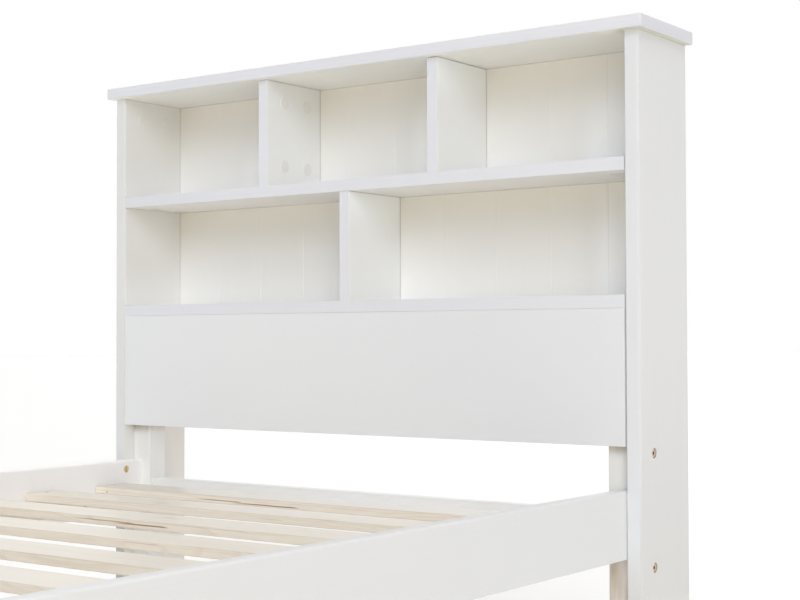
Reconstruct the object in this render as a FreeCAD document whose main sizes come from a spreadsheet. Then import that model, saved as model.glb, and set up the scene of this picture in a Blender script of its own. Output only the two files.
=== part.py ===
import FreeCAD, Part
import os
import re

import Sketcher

# Single bed with a bookcase headboard. +Z is up, the headboard stands at +Y and
# the foot end at -Y. The origin is on the floor, under the middle of the bed's box.

doc = FreeCAD.newDocument("bookcase_bed")
V = FreeCAD.Vector

# ---------------------------------------------------------------- dimensions, mm

DIMS = [
    # headboard outside
    ("outer_width", 1000, "over the two side panels"),
    ("total_height", 1000, "floor to the top of the cap"),
    ("side_thick", 22, "side panel"),
    ("side_depth", 146.5, "side panel, front to back"),
    ("board_thick", 18, "cap, shelves, dividers and front panel"),
    ("cap_over_side", 10, "cap past the side panels"),
    ("cap_over_front", 12, "cap past the fronts"),
    ("cap_over_back", 3, "cap past the backs"),
    ("joint_gap", 0.6, "a shelf's end to the side panel"),
    ("panel_gap", 1, "front panel's end to the side panel"),
    ("rail_gap", 0.3, "a side rail's outer face to the side panel"),
    # bookcase inside
    ("upper_top", 812, "top face of the upper shelf"),
    ("lower_top", 626, "top face of the lower shelf"),
    ("panel_bottom", 422, "bottom edge of the front panel"),
    ("panel_top_gap", 0.15, "front panel's top to the lower shelf"),
    ("divider_out", 164.3, "upper dividers, middle to the bed's middle"),
    ("divider_top_gap", 1, "right upper divider's top to the cap"),
    ("divider_back_gap", 0.5, "a divider's back edge to the back panel"),
    ("back_from_front", 134, "back panel's front face behind the fronts"),
    ("back_thick", 6, "back panel"),
    ("rebate", 8, "rebate in the side panels for the back panel"),
    ("groove_pitch", 95.6, "between V grooves"),
    ("groove_wide", 2, "V groove"),
    ("groove_deep", 0.5, "V groove"),
    # legs and rails at the head
    ("post_side", 38, "square leg"),
    ("post_setback", 21.5, "leg's front face behind the fronts"),
    ("post_top", 600, "top of the head legs"),
    ("cross_thick", 20, "head cross rail"),
    ("cross_tall", 60, "head cross rail"),
    ("rail_thick", 20, "side rail"),
    ("rail_tall", 92, "side rail"),
    ("rail_bottom", 271, "underside of the side rails"),
    # slats
    ("batten_thick", 20, "slat batten, sideways"),
    ("batten_tall", 30, "slat batten, upright"),
    ("batten_bottom", 283, "underside of the battens"),
    ("batten_inset", 47.5, "rail's end to the batten's end"),
    ("slat_thick", 12, "slat"),
    ("slat_wide", 68, "slat, along the bed"),
    ("slat_pitch", 145.5, "slat to slat"),
    ("slat_lead", 16.8, "fronts to the first slat"),
    ("slat_play", 1, "slat's end to the rail"),
    # foot end
    ("bed_inside", 1920, "fronts of the headboard to the foot legs"),
    ("foot_post_top", 382, "top of the foot legs, under the foot cap"),
    ("foot_panel_bottom", 200, "bottom edge of the foot panel"),
    ("foot_over", 10, "foot cap past the legs, outside"),
    ("foot_over_in", 8, "foot cap past the legs, inside"),
    # edges
    ("arris", 1.2, "rounded edges of the painted boards"),
    ("front_round", 3, "rounded front edges of the side panels"),
    ("arris_fine", 0.4, "rounded edges of shelves and dividers"),
    ("rail_round", 3.5, "rounded top edges of the side rails"),
    ("post_round", 2, "rounded edges of the legs"),
    ("slat_round", 1.8, "rounded edges of the slats"),
    # fasteners
    ("cam_reach", 34, "cam's middle to the end of its board"),
    ("cam_front", 42, "front cam behind the fronts"),
    ("cam_back", 100, "back cam behind the fronts"),
    ("cam_wide", 15, "cam hole"),
    ("cam_deep", 13, "cam hole"),
    ("cam_axis", 9, "cam pin under the face"),
    ("pin_channel", 7.6, "hole for a cam pin's stem"),
    ("pin_seat", 5, "hole for a cam pin's thread"),
    ("pin_seat_deep", 11, "hole for a cam pin's thread"),
    ("dowel_wide", 8, "dowel"),
    ("dowel_hole", 8.1, "dowel hole"),
    ("dowel_half", 10.4, "depth of a dowel hole"),
    ("dowel_short", 8, "depth of a dowel hole in a board's face"),
    ("dowel_mid", 71, "middle dowel behind the fronts"),
    ("bolt_clear", 7, "clearance hole for a bolt"),
    ("bore_wide", 14, "counterbore for a bolt's head"),
    ("bore_deep", 7, "counterbore for a bolt's head"),
    ("panel_bolt_high", 412, "upper panel bolt"),
    ("panel_bolt_low", 258, "lower panel bolt"),
    ("panel_bolt_back", 40.5, "panel bolts behind the fronts"),
    ("rail_bolt_high", 348, "upper rail bolt"),
    ("rail_bolt_low", 286, "lower rail bolt"),
    ("nut_from_end", 36, "barrel nut to the rail's end"),
    ("nut_hole", 12, "hole for a barrel nut"),
    ("nut_hole_deep", 17, "hole for a barrel nut"),
    ("rail_bolt_hole_deep", 50, "hole in a rail's end"),
    ("sleeve_hole", 10.1, "hole for a threaded sleeve"),
    ("sleeve_deep", 26, "hole for a threaded sleeve"),
    ("screw_clear", 4.2, "screw hole in slats and battens"),
    ("screw_bore", 8.6, "hole for a screw's head"),
    ("screw_bore_deep", 3, "hole for a screw's head"),
]

sheet = doc.addObject("Spreadsheet::Sheet", "dims")
for n, (alias, value, note) in enumerate(DIMS, 1):
    sheet.set(f"A{n}", alias)
    sheet.set(f"B{n}", str(value))
    sheet.set(f"C{n}", note)
    sheet.setAlias(f"B{n}", alias)
doc.recompute()

WORD = re.compile(r"[a-z][a-z_]*")

# the front plane of the headboard, so that the bed's box is centred on the origin
FRONT = "((bed_inside + post_side + foot_over - side_depth - cap_over_back) / 2)"


def ref(text):
    """A formula on the sheet's names, as the document writes it."""
    return WORD.sub(lambda m: "dims." + m.group(0), str(text))


def bind(obj, prop, text):
    obj.setExpression(prop, ref(text))


ROLE = {"x": "YZ_Plane", "y": "XZ_Plane", "z": "XY_Plane"}
PARTS = []
CORNER = {}
DRILLED = {}


def plane(body, axis):
    return [f for f in body.Origin.OriginFeatures if f.Role == ROLE[axis]][0]


def sketch(body, name, axis, at="0"):
    """A sketch square to axis, at the body's own coordinate along it."""
    sk = body.newObject("Sketcher::SketchObject", name)
    sk.AttachmentSupport = [(plane(body, axis), "")]
    sk.MapMode = "FlatFace"
    if str(at) != "0":
        bind(sk, "AttachmentOffset.Base.z", f"-({at})" if axis == "y" else at)
    return sk


def fix(sk, kind, *args):
    """A size of the sketch, bound to a formula, which comes last."""
    number = sk.addConstraint(Sketcher.Constraint(kind, *args[:-1], 5.0))
    sk.setExpression(f"Constraints[{number}]", ref(args[-1]))


def rectangle(sk, wide, tall, left="0", low="0"):
    p = [V(0, 0, 0), V(9, 0, 0), V(9, 7, 0), V(0, 7, 0)]
    for i in range(4):
        sk.addGeometry(Part.LineSegment(p[i], p[(i + 1) % 4]), False)
    for i in range(4):
        sk.addConstraint(Sketcher.Constraint("Coincident", i, 2, (i + 1) % 4, 1))
    for i, kind in enumerate(("Horizontal", "Vertical", "Horizontal", "Vertical")):
        sk.addConstraint(Sketcher.Constraint(kind, i))
    if left == "0" and low == "0":
        sk.addConstraint(Sketcher.Constraint("Coincident", 0, 1, -1, 1))
    else:
        fix(sk, "DistanceX", -1, 1, 0, 1, left)
        fix(sk, "DistanceY", -1, 1, 0, 1, low)
    fix(sk, "DistanceX", 0, 1, 0, 2, wide)
    fix(sk, "DistanceY", 1, 1, 1, 2, tall)


def pick(shape, spec):
    """Names of a box's edges. "x:y-z+" is the edge along x at least y and most z."""
    along, _, sides = spec.partition(":")
    box = shape.BoundBox
    low = {"x": box.XMin, "y": box.YMin, "z": box.ZMin}
    high = {"x": box.XMax, "y": box.YMax, "z": box.ZMax}
    found = []
    for i, e in enumerate(shape.Edges, 1):
        a, b = e.Vertexes[0].Point, e.Vertexes[-1].Point
        d = {k: abs(getattr(a, k) - getattr(b, k)) for k in "xyz"}
        if d[along] < 1e-6 or any(d[k] > 1e-6 for k in "xyz" if k != along):
            continue
        mid = (a + b) * 0.5
        pairs = [sides[j : j + 2] for j in range(0, len(sides), 2)]
        if all(
            abs(getattr(mid, s[0]) - (low if s[1] == "-" else high)[s[0]]) < 1e-3
            for s in pairs
        ):
            found.append(f"Edge{i}")
    return found


def board(name, size, corner, rounds=()):
    """A board with its least corner at corner. rounds are (edges, radius) pairs."""
    body = doc.addObject("PartDesign::Body", name)
    body.Label = name
    sk = sketch(body, name + "_outline", "z")
    rectangle(sk, size[0], size[1])
    pad = body.newObject("PartDesign::Pad", name + "_pad")
    pad.Profile = sk
    bind(pad, "Length", size[2])
    sk.Visibility = False
    for k, text in zip("xyz", corner):
        bind(body, f"Placement.Base.{k}", text)
    doc.recompute()
    for i, (specs, radius) in enumerate(rounds):
        base = body.Tip
        names = []
        for spec in specs.split():
            names += pick(base.Shape, spec)
        fillet = body.newObject("PartDesign::Fillet", f"{name}_round_{i}")
        fillet.Base = (base, sorted(set(names)))
        bind(fillet, "Radius", radius)
        doc.recompute()
        assert fillet.Shape.Volume < base.Shape.Volume, name
    CORNER[name] = corner
    DRILLED[name] = []
    PARTS.append(body)
    return body


def drill(name, at, into, wide, deep):
    """A round hole from the point at, in the bed's own coordinates, in the direction into."""
    DRILLED[name].append((into, tuple(str(a) for a in at), str(wide), str(deep)))


def cut_holes(name):
    """Makes the drilled holes of one board: one sketch and pocket for those alike."""
    body = doc.getObject(name)
    groups = {}
    for into, at, wide, deep in DRILLED[name]:
        axis = into[1]
        k = "xyz".index(axis)
        key = (into, at[k], wide, deep)
        groups.setdefault(key, []).append([at[j] for j in range(3) if j != k])
    for n, ((into, start, wide, deep), points) in enumerate(groups.items()):
        axis = into[1]
        k = "xyz".index(axis)
        across = [j for j in range(3) if j != k]
        c = CORNER[name]
        sk = sketch(body, f"{name}_marks_{n}", axis, f"({start}) - ({c[k]})")
        for i, (u, w) in enumerate(points):
            sk.addGeometry(
                Part.Circle(V(20 * i + 10, 10, 0), V(0, 0, 1), 2.5), False
            )
            fix(sk, "DistanceX", -1, 1, i, 3, f"({u}) - ({c[across[0]]})")
            fix(sk, "DistanceY", -1, 1, i, 3, f"({w}) - ({c[across[1]]})")
            fix(sk, "Diameter", i, wide)
        before = body.Tip
        pocket = body.newObject("PartDesign::Pocket", f"{name}_holes_{n}")
        pocket.Profile = sk
        pocket.Type = "Length"
        bind(pocket, "Length", deep)
        # a pocket runs against its sketch's normal, which is +X, -Y and +Z
        pocket.Reversed = into in ("+x", "-y", "+z")
        sk.Visibility = False
        doc.recompute()
        lost = before.Shape.Volume - pocket.Shape.Volume
        assert lost > 1.0, (name, n, into, start, lost)
        assert len(pocket.Shape.Solids) == 1, (name, n)


SIGN = {"left": "-", "right": "+"}
OUT = {"left": "-x", "right": "+x"}
INW = {"left": "+x", "right": "-x"}
BOTH = ("left", "right")


def mirrored(side, text):
    return f"{SIGN[side]}({text})"


def low_x(side, inner, thick):
    """Least x of a piece whose inner face is inner from the middle."""
    return f"-({inner}) - ({thick})" if side == "left" else f"{inner}"


# ---------------------------------------------------------------- headboard boards

CAP_Z = "(total_height - board_thick)"
INNER = "(outer_width / 2 - side_thick)"
BACK = f"({FRONT} + back_from_front)"

board(
    "cap_board",
    (
        "outer_width + 2 * cap_over_side",
        "side_depth + cap_over_front + cap_over_back",
        "board_thick",
    ),
    ("-(outer_width / 2 + cap_over_side)", f"{FRONT} - cap_over_front", CAP_Z),
    [("x y z", "arris")],
)

for side in BOTH:
    name = f"side_panel_{side}"
    body = board(
        name,
        ("side_thick", "side_depth", CAP_Z),
        (low_x(side, INNER, "side_thick"), FRONT, "0"),
        [("z:y-", "front_round"), ("z:y+ x:z- y:z-", "arris")],
    )
    # rebate for the back panel, in the inner back corner from the lower shelf up
    sk = sketch(body, name + "_rebate", "z", CAP_Z)
    rectangle(
        sk,
        "rebate + 1",
        "side_depth - back_from_front + 1",
        "side_thick - rebate" if side == "left" else "-1",
        "back_from_front",
    )
    before = body.Tip
    cut = body.newObject("PartDesign::Pocket", name + "_rebate_cut")
    cut.Profile = sk
    cut.Type = "Length"
    bind(cut, "Length", f"{CAP_Z} - lower_top + board_thick")
    sk.Visibility = False
    doc.recompute()
    assert before.Shape.Volume - cut.Shape.Volume > 20000, name

SHELF_WIDE = "outer_width - 2 * side_thick - 2 * joint_gap"
SHELF_X = f"-({INNER} - joint_gap)"
for name, top in (("shelf_upper", "upper_top"), ("shelf_lower", "lower_top")):
    board(
        name,
        (SHELF_WIDE, "back_from_front", "board_thick"),
        (SHELF_X, FRONT, f"{top} - board_thick"),
        [("x:y-", "arris_fine")],
    )

board(
    "front_panel",
    (
        "outer_width - 2 * side_thick - 2 * panel_gap",
        "board_thick",
        "lower_top - board_thick - panel_top_gap - panel_bottom",
    ),
    (f"-({INNER} - panel_gap)", FRONT, "panel_bottom"),
    [("x", "arris_fine")],
)

DIVIDER_DEEP = "back_from_front - divider_back_gap"
for side, gap in (("left", "joint_gap"), ("right", "divider_top_gap")):
    board(
        f"divider_upper_{side}",
        ("board_thick", DIVIDER_DEEP, f"{CAP_Z} - upper_top - {gap}"),
        (
            f"{mirrored(side, 'divider_out')} - board_thick / 2",
            FRONT,
            "upper_top",
        ),
        [("z:y-", "arris_fine")],
    )
board(
    "divider_lower",
    ("board_thick", DIVIDER_DEEP, "upper_top - board_thick - lower_top - joint_gap"),
    ("-board_thick / 2", FRONT, "lower_top"),
    [("z:y-", "arris_fine")],
)

# the back panel: a thin sheet with V grooves, as if of narrow boards
body = board(
    "back_panel",
    (
        "outer_width - 2 * side_thick + 2 * rebate - 2 * joint_gap",
        "back_thick",
        f"{CAP_Z} - lower_top + board_thick - joint_gap",
    ),
    (
        f"-({INNER} + rebate - joint_gap)",
        BACK,
        "lower_top - board_thick + joint_gap",
    ),
)
sk = sketch(body, "back_panel_groove", "z")
p = [V(2, -0.2, 0), V(6, -0.2, 0), V(4, 2, 0)]
for i in range(3):
    sk.addGeometry(Part.LineSegment(p[i], p[(i + 1) % 3]), False)
for i in range(3):
    sk.addConstraint(Sketcher.Constraint("Coincident", i, 2, (i + 1) % 3, 1))
sk.addConstraint(Sketcher.Constraint("Horizontal", 0))
fix(
    sk,
    "DistanceX",
    -1,
    1,
    1,
    2,
    f"{INNER} + rebate - joint_gap - 4 * groove_pitch",
)
fix(sk, "DistanceY", -1, 1, 1, 2, "groove_deep")
fix(sk, "DistanceX", 0, 1, 0, 2, "groove_wide * 1.1")
fix(sk, "DistanceX", 0, 1, 1, 2, "groove_wide * 0.55")
fix(sk, "DistanceY", 0, 1, 1, 2, "groove_deep * 1.1")
groove = body.newObject("PartDesign::Pocket", "back_panel_groove_cut")
groove.Profile = sk
groove.Type = "Length"
groove.Reversed = True
bind(groove, "Length", "total_height")
sk.Visibility = False
before = body.Tip
doc.recompute()
full = body.Tip.Shape.Volume
across = body.newObject("PartDesign::LinearPattern", "back_panel_grooves")
across.Originals = [groove]
axis = [f for f in body.Origin.OriginFeatures if f.Role == "X_Axis"][0]
across.Direction = (axis, [""])
across.Occurrences = 9
bind(across, "Length", "8 * groove_pitch")
body.Tip = across
doc.recompute()
one = (
    sheet.get("groove_wide") * sheet.get("groove_deep") / 2 * across.Shape.BoundBox.ZLength
)
assert abs((full - across.Shape.Volume) - 8 * one) < 0.3 * one, (full, one)

# ---------------------------------------------------------------- legs and rails

POST_IN = f"({INNER} - post_side)"
POST_Y = f"({FRONT} + post_setback)"
FOOT_Y = f"({FRONT} - bed_inside)"
RAIL_IN = f"({INNER} - rail_gap - rail_thick)"
RAIL_MID = f"({RAIL_IN} + rail_thick / 2)"
for side in BOTH:
    board(
        f"head_post_{side}",
        ("post_side", "post_side", "post_top"),
        (low_x(side, POST_IN, "post_side"), POST_Y, "0"),
        [("z x:z- y:z- x:z+ y:z+", "post_round")],
    )
    board(
        f"foot_post_{side}",
        ("post_side", "post_side", "foot_post_top"),
        (low_x(side, POST_IN, "post_side"), f"{FOOT_Y} - post_side", "0"),
        [("z x:z- y:z-", "post_round")],
    )
    board(
        f"side_rail_{side}",
        ("rail_thick", "bed_inside + post_setback", "rail_tall"),
        (low_x(side, RAIL_IN, "rail_thick"), FOOT_Y, "rail_bottom"),
        [("y:z+", "rail_round"), ("y:z-", "post_round")],
    )
    board(
        f"slat_batten_{side}",
        (
            "batten_thick",
            "bed_inside + post_setback - 2 * batten_inset",
            "batten_tall",
        ),
        (
            low_x(side, f"{RAIL_IN} - batten_thick", "batten_thick"),
            f"{FOOT_Y} + batten_inset",
            "batten_bottom",
        ),
        [("y", "arris")],
    )

board(
    "head_cross_rail",
    (f"2 * {POST_IN}", "cross_thick", "cross_tall"),
    (f"-{POST_IN}", f"{POST_Y} + (post_side - cross_thick) / 2", "rail_bottom"),
    [("x", "post_round")],
)
board(
    "foot_panel",
    (
        f"2 * {POST_IN}",
        "board_thick",
        "foot_post_top - foot_panel_bottom - joint_gap",
    ),
    (
        f"-{POST_IN}",
        f"{FOOT_Y} - (post_side + board_thick) / 2",
        "foot_panel_bottom",
    ),
    [("x:z-", "arris")],
)
board(
    "foot_cap_board",
    (
        f"2 * ({INNER} + foot_over)",
        "post_side + foot_over + foot_over_in",
        "board_thick",
    ),
    (
        f"-({INNER} + foot_over)",
        f"{FOOT_Y} - post_side - foot_over",
        "foot_post_top",
    ),
    [("x y z", "arris")],
)

# ---------------------------------------------------------------- slats

SLATS = 13
SLAT_HALF = f"({RAIL_IN} - slat_play)"
SLAT_Z = "(batten_bottom + batten_tall)"
for i in range(SLATS):
    board(
        f"slat_{i + 1:02d}",
        (f"2 * {SLAT_HALF}", "slat_wide", "slat_thick"),
        (
            f"-{SLAT_HALF}",
            f"{FRONT} - slat_lead - slat_wide - {i} * slat_pitch",
            SLAT_Z,
        ),
        [("x", "slat_round")],
    )

# ---------------------------------------------------------------- joints and their holes

# Each cam sits in the face of one board, turned towards that board's end, and
# pulls a pin that is screwed into the other board:
# (board with the cam, board with the pin, cam's middle on the face, face's
#  outward normal, direction to the board's end, covered)
CAMS = []
DEPTHS = (f"({FRONT} + cam_front)", f"({FRONT} + cam_back)")
for side in BOTH:
    inner_face = mirrored(side, INNER)
    for y in DEPTHS:
        CAMS.append(
            (
                f"side_panel_{side}",
                "cap_board",
                (inner_face, y, f"{CAP_Z} - cam_reach"),
                INW[side],
                "+z",
                True,
            )
        )
        # the upper dividers' cams are on their faces towards the middle
        face = mirrored(side, "divider_out - board_thick / 2")
        CAMS.append(
            (
                f"divider_upper_{side}",
                "cap_board",
                (face, y, f"{CAP_Z} - cam_reach"),
                INW[side],
                "+z",
                True,
            )
        )
        CAMS.append(
            (
                f"divider_upper_{side}",
                "shelf_upper",
                (face, y, "upper_top + cam_reach"),
                INW[side],
                "-z",
                True,
            )
        )
        for shelf, top in (("shelf_upper", "upper_top"), ("shelf_lower", "lower_top")):
            CAMS.append(
                (
                    shelf,
                    f"side_panel_{side}",
                    (
                        mirrored(side, f"{INNER} - cam_reach"),
                        y,
                        f"{top} - board_thick",
                    ),
                    "-z",
                    OUT[side],
                    shelf == "shelf_upper",
                )
            )
    for z in ("panel_bottom + cam_front", "lower_top - board_thick - cam_front"):
        CAMS.append(
            (
                "front_panel",
                f"side_panel_{side}",
                (
                    mirrored(side, f"{INNER} - cam_reach"),
                    f"({FRONT} + board_thick)",
                    z,
                ),
                "+y",
                OUT[side],
                False,
            )
        )
for y in DEPTHS:
    CAMS.append(
        (
            "divider_lower",
            "shelf_upper",
            ("-board_thick / 2", y, "upper_top - board_thick - cam_reach"),
            "-x",
            "+z",
            True,
        )
    )
    CAMS.append(
        (
            "divider_lower",
            "shelf_lower",
            ("-board_thick / 2", y, "lower_top + cam_reach"),
            "-x",
            "-z",
            True,
        )
    )

BACKWARDS = {"+": "-", "-": "+"}


def shift(at, direction, distance):
    """The point at, moved by distance along direction."""
    k = "xyz".index(direction[1])
    out = list(at)
    out[k] = f"{at[k]} {direction[0]} ({distance})"
    return out


def opposite(direction):
    return BACKWARDS[direction[0]] + direction[1]


PINS = []
for cam_board, pin_board, at, normal, toward, covered in CAMS:
    drill(cam_board, at, opposite(normal), "cam_wide", "cam_deep")
    joint = shift(shift(at, opposite(normal), "cam_axis"), toward, "cam_reach")
    drill(cam_board, joint, opposite(toward), "pin_channel", "cam_reach")
    drill(pin_board, joint, toward, "pin_seat", "pin_seat_deep")
    PINS.append((joint, opposite(toward)))

# Dowels: (board drilled in its end, board drilled in its face, point, direction to the face's board)
DOWELS = []
MID_Y = f"({FRONT} + dowel_mid)"


def dowel(end_board, face_board, at, toward):
    drill(end_board, at, opposite(toward), "dowel_hole", "dowel_half * 2 - dowel_short + 0.6")
    drill(face_board, at, toward, "dowel_hole", "dowel_short + 0.3")
    DOWELS.append((at, toward))


for side in BOTH:
    out, into = OUT[side], INW[side]
    middle = mirrored(side, f"{INNER} + cam_axis")
    dowel(f"side_panel_{side}", "cap_board", (middle, MID_Y, CAP_Z), "+z")
    x = mirrored(side, "divider_out")
    dowel(f"divider_upper_{side}", "cap_board", (x, MID_Y, CAP_Z), "+z")
    dowel(f"divider_upper_{side}", "shelf_upper", (x, MID_Y, "upper_top"), "-z")
    for shelf, top in (("shelf_upper", "upper_top"), ("shelf_lower", "lower_top")):
        dowel(
            shelf,
            f"side_panel_{side}",
            (mirrored(side, INNER), MID_Y, f"{top} - board_thick / 2"),
            out,
        )
    dowel(
        "front_panel",
        f"side_panel_{side}",
        (
            mirrored(side, INNER),
            f"({FRONT} + board_thick / 2)",
            "(panel_bottom + lower_top - board_thick) / 2",
        ),
        out,
    )
    for z in ("rail_bottom + 15", "rail_bottom + 45"):
        dowel(
            "head_cross_rail",
            f"head_post_{side}",
            (mirrored(side, POST_IN), f"({POST_Y} + post_side / 2)", z),
            out,
        )
    for z in (
        "foot_panel_bottom + 25",
        "(foot_panel_bottom + foot_post_top) / 2",
        "foot_post_top - 25",
    ):
        dowel(
            "foot_panel",
            f"foot_post_{side}",
            (mirrored(side, POST_IN), f"({FOOT_Y} - post_side / 2)", z),
            out,
        )
    dowel(
        f"foot_post_{side}",
        "foot_cap_board",
        (
            mirrored(side, f"{INNER} - post_side / 2"),
            f"({FOOT_Y} - post_side / 2)",
            "foot_post_top",
        ),
        "+z",
    )
    dowel(
        "front_panel",
        "shelf_lower",
        (
            mirrored(side, "divider_out * 1.4"),
            f"({FRONT} + board_thick / 2)",
            "lower_top - board_thick",
        ),
        "+z",
    )
dowel("divider_lower", "shelf_upper", ("0", MID_Y, "upper_top - board_thick"), "+z")
dowel("divider_lower", "shelf_lower", ("0", MID_Y, "lower_top"), "-z")
dowel(
    "foot_panel",
    "foot_cap_board",
    ("0", f"({FOOT_Y} - post_side / 2)", "foot_post_top"),
    "+z",
)

# Bolts: through a side panel into a sleeve in the leg, and through a leg into a
# barrel nut in the rail's end
PANEL_BOLTS, SLEEVES, RAIL_BOLTS, NUTS = [], [], [], []
for side in BOTH:
    out, into = OUT[side], INW[side]
    for z in ("panel_bolt_high", "panel_bolt_low"):
        y = f"({FRONT} + panel_bolt_back)"
        face = (mirrored(side, "outer_width / 2"), y, z)
        drill(f"side_panel_{side}", face, into, "bore_wide", "bore_deep")
        drill(
            f"side_panel_{side}",
            shift(face, into, "bore_deep"),
            into,
            "bolt_clear",
            "side_thick - bore_deep",
        )
        joint = (mirrored(side, INNER), y, z)
        drill(f"head_post_{side}", joint, into, "sleeve_hole", "sleeve_deep")
        PANEL_BOLTS.append((shift(face, into, "bore_deep"), out))
        SLEEVES.append((joint, out))
    for z in ("rail_bolt_high", "rail_bolt_low"):
        x = mirrored(side, RAIL_MID)
        for end in ("head", "foot"):
            if end == "head":
                outside, inside, back = f"({POST_Y} + post_side)", POST_Y, "-y"
            else:
                outside, inside, back = f"({FOOT_Y} - post_side)", FOOT_Y, "+y"
            post = f"{end}_post_{side}"
            drill(post, (x, outside, z), back, "bore_wide", "bore_deep")
            seat = shift((x, outside, z), back, "bore_deep")
            drill(post, seat, back, "bolt_clear", "post_side - bore_deep")
            drill(
                f"side_rail_{side}",
                (x, inside, z),
                back,
                "bolt_clear",
                "rail_bolt_hole_deep",
            )
            nut = shift(
                (mirrored(side, RAIL_IN), inside, z),
                back,
                "nut_from_end",
            )
            drill(f"side_rail_{side}", nut, out, "nut_hole", "nut_hole_deep")
            RAIL_BOLTS.append((seat, opposite(back)))
            NUTS.append((nut, into))

# Screws: down through each slat into the battens, and through the battens into the rails
SLAT_SCREWS, BATTEN_SCREWS, BACK_SCREWS = [], [], []
for side in BOTH:
    x = mirrored(side, f"{RAIL_IN} - batten_thick / 2")
    for i in range(SLATS):
        y = f"({FRONT} - slat_lead - slat_wide / 2 - {i} * slat_pitch)"
        top = f"({SLAT_Z} + slat_thick)"
        drill(f"slat_{i + 1:02d}", (x, y, top), "-z", "screw_bore", "screw_bore_deep")
        drill(f"slat_{i + 1:02d}", (x, y, top), "-z", "screw_clear", "slat_thick")
        drill(f"slat_batten_{side}", (x, y, SLAT_Z), "-z", "screw_clear", "20")
        SLAT_SCREWS.append(((x, y, f"{top} - screw_bore_deep"), "+z"))
    face = mirrored(side, f"{RAIL_IN} - batten_thick")
    for i in range(7):
        at = (
            face,
            f"({FRONT} - slat_lead - slat_wide - (slat_pitch - slat_wide) / 2 - {2 * i} * slat_pitch * 0.99)",
            "batten_bottom + batten_tall / 2",
        )
        out = OUT[side]
        drill(f"slat_batten_{side}", at, out, "screw_bore", "screw_bore_deep")
        drill(f"slat_batten_{side}", at, out, "screw_clear", "batten_thick")
        deep = "12"
        joint = shift(at, out, "batten_thick")
        drill(f"side_rail_{side}", joint, out, "screw_clear", deep)
        BATTEN_SCREWS.append((shift(at, out, "screw_bore_deep"), INW[side]))
for z in ("upper_top - board_thick / 2", "lower_top - board_thick / 2"):
    for i in range(-4, 5):
        at = (f"{i} * 110 + 28", f"({BACK} + back_thick)", z)
        drill("back_panel", at, "-y", "3.4", "back_thick")
        drill(
            "shelf_upper" if z.startswith("upper") else "shelf_lower",
            (at[0], BACK, z),
            "-y",
            "3.4",
            "14",
        )
        BACK_SCREWS.append((at, "+y"))

for body in list(PARTS):
    if DRILLED[body.Name]:
        cut_holes(body.Name)

# ---------------------------------------------------------------- fasteners

# Each fastener is made once, standing on +Z, and the others are links to it.
TURN = {
    "+z": FreeCAD.Rotation(),
    "-z": FreeCAD.Rotation(V(1, 0, 0), 180),
    "+x": FreeCAD.Rotation(V(0, 1, 0), 90),
    "-x": FreeCAD.Rotation(V(0, 1, 0), -90),
    "+y": FreeCAD.Rotation(V(1, 0, 0), -90),
    "-y": FreeCAD.Rotation(V(1, 0, 0), 90),
}
UNIT = {
    "+x": V(1, 0, 0),
    "-x": V(-1, 0, 0),
    "+y": V(0, 1, 0),
    "-y": V(0, -1, 0),
    "+z": V(0, 0, 1),
    "-z": V(0, 0, -1),
}

MORE = [
    ("head_wide", 12.4, "bolt head"),
    ("head_tall", 5.5, "bolt head"),
    ("socket_wide", 5, "hexagon socket, across flats"),
    ("socket_deep", 3, "hexagon socket"),
    ("shank_wide", 6, "bolt shank"),
    ("panel_bolt_long", 38, "panel bolt's shank"),
    ("rail_bolt_long", 78, "rail bolt's shank"),
    ("nut_wide", 11.7, "barrel nut"),
    ("nut_long", 15.5, "barrel nut"),
    ("nut_inset", 0.8, "barrel nut under the rail's face"),
    ("thread_hole", 6.1, "hole round a bolt's shank"),
    ("sleeve_wide", 10, "threaded sleeve"),
    ("sleeve_long", 25, "threaded sleeve"),
    ("disc_wide", 14.7, "cam"),
    ("disc_deep", 12.4, "cam"),
    ("stem_wide", 6.8, "cam pin's stem"),
    ("stem_long", 35.5, "cam pin's stem"),
    ("pin_thread", 4.9, "cam pin's thread"),
    ("pin_thread_long", 10.5, "cam pin's thread"),
    ("cover_wide", 20.4, "cam cover"),
    ("cover_tall", 0.9, "cam cover"),
    ("screw_head", 8, "screw head"),
    ("screw_shank", 4, "screw shank"),
    ("slat_screw_long", 26, "slat screw"),
    ("batten_screw_long", 27, "batten screw"),
    ("back_head", 7, "back panel screw head"),
    ("back_head_tall", 1.6, "back panel screw head"),
    ("back_shank", 3.2, "back panel screw"),
    ("back_screw_long", 18, "back panel screw"),
]
for n, (alias, value, note) in enumerate(MORE, len(DIMS) + 1):
    sheet.set(f"A{n}", alias)
    sheet.set(f"B{n}", str(value))
    sheet.set(f"C{n}", note)
    sheet.setAlias(f"B{n}", alias)
doc.recompute()


def cylinder(name, wide, tall, low="0", along="+z", at=("0", "0")):
    """A cylinder on an axis, from low upwards along it."""
    c = doc.addObject("Part::Cylinder", name)
    bind(c, "Radius", f"({wide}) / 2")
    bind(c, "Height", tall)
    c.Placement = FreeCAD.Placement(V(0, 0, 0), TURN[along])
    k = "xyz".index(along[1])
    others = [j for j in range(3) if j != k]
    bind(c, "Placement.Base." + "xyz"[k], low)
    for j, text in zip(others, at):
        bind(c, "Placement.Base." + "xyz"[j], text)
    return c


def fuse(name, *shapes):
    f = doc.addObject("Part::MultiFuse", name)
    f.Shapes = list(shapes)
    f.Refine = True
    return f


def cut_from(name, base, tool):
    c = doc.addObject("Part::Cut", name)
    c.Base, c.Tool = base, tool
    return c


def round_edges(name, base, radius, test):
    doc.recompute()
    f = doc.addObject("Part::Fillet", name)
    f.Base = base
    r = float(radius)
    f.Edges = [
        (i, r, r) for i, e in enumerate(base.Shape.Edges, 1) if test(e)
    ]
    doc.recompute()
    return f


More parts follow.
